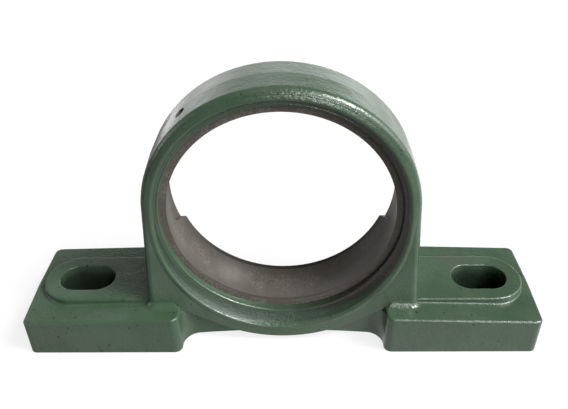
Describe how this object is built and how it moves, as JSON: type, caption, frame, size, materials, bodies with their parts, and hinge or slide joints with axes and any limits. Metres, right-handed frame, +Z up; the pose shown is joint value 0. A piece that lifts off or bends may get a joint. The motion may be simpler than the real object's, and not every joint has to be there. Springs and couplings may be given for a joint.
{
  "type": "pillow block bearing housing",
  "caption": "Cast-iron pillow block housing with a spherical seat for an insert bearing, slotted feet and a tapped grease hole. The insert is not fitted.",
  "frame": {"origin": "on the base plane, under the bore's centre and midway between the feet", "axes": "+X along the base towards the right foot, +Y along the bore towards the side with the loading slots, +Z up"},
  "size_m": [0.329, 0.075, 0.1775],
  "materials": {
    "casting": "gloss grey-green enamel over a sand-cast skin, with the bore machined bare"
  },
  "bodies": {
    "root": {"housing": "casting"}
  },
  "joints": []
}
